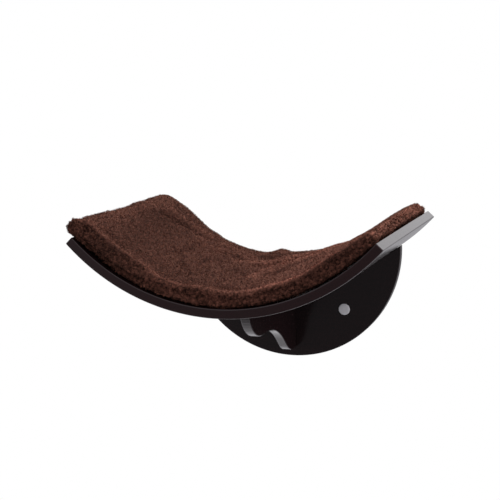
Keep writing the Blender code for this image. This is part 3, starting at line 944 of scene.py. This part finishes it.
def mesh_of(name, points, face_sizes, corners):
    mesh = bpy.data.meshes.new(name)
    mesh.vertices.add(len(points))
    mesh.vertices.foreach_set("co", np.asarray(points, np.float32).ravel())
    mesh.loops.add(len(corners))
    mesh.loops.foreach_set("vertex_index", np.asarray(corners, np.int32))
    starts = np.concatenate([[0], np.cumsum(face_sizes)[:-1]])
    mesh.polygons.add(len(face_sizes))
    mesh.polygons.foreach_set("loop_start", np.asarray(starts, np.int32))
    mesh.update(calc_edges=True)
    mesh.validate()
    mesh.shade_smooth()
    return add_object(name, mesh)


def set_attributes(obj, **attributes):
    for name, values in attributes.items():
        layer = obj.data.attributes.new(name, "FLOAT", "POINT")
        layer.data.foreach_set("value", np.asarray(values, np.float32))


def set_map(obj, corner_places):
    layer = obj.data.uv_layers.new(name="OFBake", do_init=False)
    layer.uv.foreach_set("vector", corner_places.astype(np.float32).ravel())


def cushion_shell():
    """The filled cover: points, their flat places, its faces' corners and sizes, how many are quads."""
    top, bottom = halves()
    bent = [bend(top), bend(bottom)]
    bent = [place + move for place, move in zip(bent, filled(*bent))]
    ring = RING_CELLS
    first = (ring, ring)
    last = (CELLS_ALONG - ring, CELLS_ACROSS - ring)
    upper = np.arange(GRID[0] * GRID[1]).reshape(GRID)
    i, j = np.indices(GRID)
    inner = (i > ring) & (i < last[0]) & (j > ring) & (j < last[1])
    rim = (i == 0) | (i == CELLS_ALONG) | (j == 0) | (j == CELLS_ACROSS)
    coarse = ((i - ring) % COARSE == 0) & ((j - ring) % COARSE == 0)
    kept = ~rim & (~inner | coarse)
    lower = np.full(GRID, -1)
    lower[rim] = upper[rim]
    lower[kept] = upper.size + np.arange(int(kept.sum()))
    points = np.concatenate([bent[0].reshape(-1, 3), bent[1][kept]])
    flats = np.concatenate([top.reshape(-1, 3), bottom[kept]])
    i, j = np.indices((CELLS_ALONG, CELLS_ACROSS))
    in_ring = (i < first[0]) | (i >= last[0]) | (j < first[1]) | (j >= last[1])
    quads = np.concatenate([sheet_faces(upper, False), sheet_faces(lower, True)[in_ring.ravel()]])
    corners = [quads.ravel()]
    sizes = [4] * len(quads)
    steps = range(COARSE)
    for a in range(first[0], last[0], COARSE):
        for b in range(first[1], last[1], COARSE):
            far_a = a + COARSE
            far_b = b + COARSE
            path = [(a, b + k) for k in steps if k == 0 or a == first[0]]
            path += [(a + k, far_b) for k in steps if k == 0 or far_b == last[1]]
            path += [(far_a, far_b - k) for k in steps if k == 0 or far_a == last[0]]
            path += [(far_a - k, b) for k in steps if k == 0 or b == first[1]]
            corners.append(np.array([lower[p] for p in path]))
            sizes.append(len(path))
    return points, flats, np.concatenate(corners), np.array(sizes), len(quads)


def side_amount(flats):
    """1 on the cushion's sides, where the pile is longer and lumpier, and 0 on its top."""
    return 1 - smooth(*SIDE_LEVELS, flats[:, 2] / thickness_at(flats[:, 0], flats[:, 1]))


def nap_of(flats, side):
    """Painted light and shade on the pile: lighter on ridges and at the right end, darker in grooves,
    creases and along the front.
    """
    s = flats[:, 0]
    y = flats[:, 1]
    # Painted highlight along the front ridge
    bright = between(RIDGE_HIGHLIGHT_SPAN, s)
    ridge = RIDGE_PAINTED_HIGHLIGHT_LEFT + RIDGE_PAINTED_HIGHLIGHT_MORE * smooth(*RIDGE_MORE_SPAN, s) + RIDGE_PAINTED_HIGHLIGHT_RIGHT * bright
    top = table_height(TOP_PAINTED_SHADING, s)
    top += ridge * bump(y - rim_line(s) - HIGHLIGHT_PLACE, HIGHLIGHT_WIDTH + HIGHLIGHT_WIDTH_RIGHT * bright)
    # Painted shade in the hollow beside the left end
    top -= swell(s, y, *LEFT_HOLLOW_SHADE)
    top += fold_amount(s, y, "light")
    right_end = smooth(*END_PAINTED_LIGHT_FROM, s) * smooth(*END_PAINTED_LIGHT_FRONT, y)
    # Painted shade and light along the front, which faces the dim room
    slant = slanted(s)
    low, high = (edge + more * slant for edge, more in zip(FRONT_PAINTED_SHADE_TO, FRONT_PAINTED_SHADE_SLANT))
    front = 1 - smooth(low, high, y)
    front = front * (1 - right_end)
    level = flats[:, 2] / thickness_at(s, y)
    # Painted shade in the right end's crease, notch, pit and foot, under its painted light
    foot, foot_level, foot_width = END_FOOT_SHADE
    shade = end_marks(y, level, *END_SHADES) + foot * bump(level - foot_level, foot_width)
    end = 1 + right_end * (END_PAINTED_LIGHT - shade)
    return (top * (1 - side) + end * side) * (1 - front) + table_height(FRONT_PAINTED_SHADE, s) * front


def pile_of(flats, side):
    """Per point, from both sizes of clump: the pile's height and lean, place in its clump, number."""
    made = []
    for size, seed in CLUMPS:
        first, second, middle, number = clumps(flats, size, seed)
        dome = np.clip(1 - (first / (DOME_SIZE * size)) ** 2, 0.0, 1.0)
        crease = smooth(0.0, CREASE_SIZE * size, second - first)
        turn = number * math.tau
        lean = CLUMP_LEAN * np.stack([np.cos(turn), np.sin(turn), 0 * turn], -1)
        height = dome * DOME_SHARE + crease * CREASE_SHARE
        made.append((height, lean, (flats - middle) / size, number))
    (height, lean, off_middle, number), (side_height, side_lean, side_off, side_number) = made
    take = side[:, None]
    return (height * (1 - side) + side_height * side, lean * (1 - take) + side_lean * take,
            off_middle * (1 - take) + side_off * take, np.where(side > 0.5, side_number, number))


def normals_of(obj):
    values = np.zeros(len(obj.data.vertices) * 3, np.float32)
    obj.data.vertex_normals.foreach_get("vector", values)
    return values.reshape(-1, 3).astype(float)


def off_board(flats, normals):
    """How squarely each normal points away from the board, from -1 to 1."""
    angle = flats[:, 0] * MM / BOARD_RADIUS
    return normals[:, 2] * np.cos(angle) - normals[:, 0] * np.sin(angle)


def map_places(flats):
    """Each point's place on a square map: the grid's own on the top, the flat place underneath."""
    i, j = np.indices(GRID)
    where = (flats[:, :2] - (LEFT_END, FRONT_EDGE)) / (RIGHT_END - LEFT_END, BACK_EDGE - FRONT_EDGE)
    where[:i.size] = np.stack([i.ravel() / CELLS_ALONG, j.ravel() / CELLS_ACROSS], 1)
    return where


def cushion_body():
    """The cover with its clumps raised, and what the blades need to know of it."""
    points, flats, corners, sizes, quad_count = cushion_shell()
    body = mesh_of("fleece_cushion", points, sizes, corners)
    normals = normals_of(body)
    side = side_amount(flats)
    height, _, _, number = pile_of(flats, side)
    under = smooth(*UNDER_COVER, -off_board(flats, normals))
    amount = (CLUMP_RELIEF + SIDE_RELIEF * side) * (1 - UNDER_FLATTENING * under)
    raised = points + normals * ((height - CLUMP_LEVEL) * amount * MM)[:, None]
    body.data.vertices.foreach_set("co", raised.astype(np.float32).ravel())
    body.data.update()
    # Painted shade low in the clumps, each clump's own tone, and painted light and shade over the
    # cushion's form
    set_attributes(body, pile=np.clip(height * COVER_CLUMP_SHADE, 0, 1), shade=number, nap=nap_of(flats, side))
    where = map_places(flats)
    uv = np.clip(where[corners], 0.0, 1.0) * MAP_SIZE + MAP_MARGIN
    uv[TOP_CELLS * 4:, 1] += 0.5
    set_map(body, uv)
    return body, (raised, normals, flats, side, corners[:quad_count * 4].reshape(-1, 4), where)


def fibres(name, cover, seed):
    """A piece of curled pile: bent blades that rise from the cover and lean together in clumps."""
    points, normals, flats, side, quads, where = cover
    rng = np.random.default_rng(seed)
    p = points[quads]
    areas = np.linalg.norm(np.cross(p[:, 2] - p[:, 0], p[:, 3] - p[:, 1]), axis=1) / 2
    down = smooth(*UNDER_PILE, -off_board(flats, normals))
    weights = areas * (1 - (1 - UNDER_SHARE) * down[quads].mean(1))
    face = rng.choice(len(quads), size=BLADES, p=weights / weights.sum())
    a, b = rng.random((2, BLADES))
    spread = np.stack([(1 - a) * (1 - b), a * (1 - b), a * b, (1 - a) * b], 1)[:, :, None]
    picked = quads[face]
    root = (points[picked] * spread).sum(1)
    out = (normals[picked] * spread).sum(1)
    out /= np.linalg.norm(out, axis=1, keepdims=True)
    flat = (flats[picked] * spread).sum(1)
    sides = (side[picked] * spread[..., 0]).sum(1)
    downs = (down[picked] * spread[..., 0]).sum(1)
    at = (where[picked] * spread).sum(1)
    height, lean_flat, off_middle, number = pile_of(flat, sides)
    turn = flat[:, 0] * MM / BOARD_RADIUS
    along = np.stack([np.cos(turn), 0 * turn, np.sin(turn)], 1)
    inward = np.stack([-np.sin(turn), 0 * turn, np.cos(turn)], 1)

    def in_place(vector):
        return vector[:, :1] * along + vector[:, 1:2] * (0, 1, 0) + vector[:, 2:] * inward

    lean = in_place(lean_flat - off_middle) + rng.normal(0, LEAN_SPREAD, (BLADES, 3))
    lean -= (lean * out).sum(1)[:, None] * out
    lean /= np.maximum(np.linalg.norm(lean, axis=1, keepdims=True), 1e-6)
    across = np.cross(out, lean)
    least, by_height, by_side = BLADE_LENGTHS
    length = (least + by_height * height + by_side * sides) * rng.uniform(*LENGTH_SPAN, BLADES)
    length = length * (1 - UNDER_SHORTER * downs) * MM
    width = rng.uniform(*WIDTH_SPAN, BLADES) * (1 + SIDE_WIDER * sides) * MM
    curl = rng.normal(0, CURL_SPREAD, BLADES)
    rows = []
    for t, rise, forward, half in BLADE:
        middle = (root + out * (length * rise)[:, None] + lean * (length * forward)[:, None]
                  + across * (length * curl * t * t)[:, None])
        tilt = across + out * (curl * CURL_TWIST)[:, None]
        if half:
            rows.append(middle - tilt * (width * half)[:, None])
            rows.append(middle + tilt * (width * half)[:, None])
        else:
            rows.append(middle)
    made = np.stack(rows, 1)
    per = len(rows)
    start = np.arange(BLADES)[:, None] * per
    corners = np.concatenate([start + (0, 2, 3, 1), start + (2, 4, 5, 3), start + (4, 6, 5)], 1).ravel()
    obj = mesh_of(name, made.reshape(-1, 3), np.tile((4, 4, 3), BLADES), corners)
    facing = out + CLUMP_ROUNDNESS * in_place(off_middle) + rng.normal(0, FACING_SPREAD, (BLADES, 3))
    facing /= np.linalg.norm(facing, axis=1, keepdims=True)
    obj.data.normals_split_custom_set_from_vertices(np.repeat(facing, per, axis=0))
    tips = np.repeat([t for t, *_ in BLADE], (2, 2, 2, 1))[None, :]
    # Painted shade: darker at each blade's root and low in its clump
    pile = (ROOT_TO_TIP_SHADE[0] + ROOT_TO_TIP_SHADE[1] * tips) * (LOW_TO_HIGH_CLUMP_SHADE[0] + LOW_TO_HIGH_CLUMP_SHADE[1] * height)[:, None]
    own = np.clip(0.5 + CLUMP_SHADE * (number - 0.5) + rng.normal(0, SHADE_SPREAD, BLADES), 0, 1)
    # Painted light and shade over the cushion's form, taken at each blade's root
    nap = nap_of(flat, sides)
    set_attributes(obj, pile=pile.ravel(), shade=np.repeat(own, per), nap=np.repeat(nap, per))
    tile = np.floor(np.clip(at, 0.0, 0.999) * (TILES - 2, TILES / 2 - 2)) + (1, 1)
    tile[:, 1] += (face >= TOP_CELLS) * (TILES / 2)
    set_map(obj, ((tile[:, None, :] + BLADE_MAP[None]) / TILES).reshape(-1, 2)[corners])
    return obj


camera()
world()
for row in LAMPS:
    lamp(*row)
studio_floor()

finishes = {
    "dark_lacquer": lacquer(),
    "zinc_steel": steel(),
    "cap_grey": cap_plastic(),
    "hook_and_loop": nylon(),
}
slots = {part["node"]: part["material_slot"] for part in frame["record"]["subparts"]}
for node, obj in frame["nodes"].items():
    if slots[node] in finishes:
        obj.data.materials.clear()
        obj.data.materials.append(finishes[slots[node]])

cushion, cover = cushion_body()
cushion.data.materials.append(fleece("fleece_ground", COVER_DARK, COVER_LIGHT))
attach(cushion, "cushion_pad")
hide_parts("cushion")
pile_material = fleece("fleece_pile", PILE_DARK, PILE_LIGHT)
for number in range(PILE_PIECES):
    tuft = fibres(f"fleece_pile_{number + 1}", cover, PILE_SEED + number)
    tuft.data.materials.append(pile_material)
    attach(tuft, "cushion_pad")

view = bpy.context.scene.view_settings
view.view_transform = "Standard"
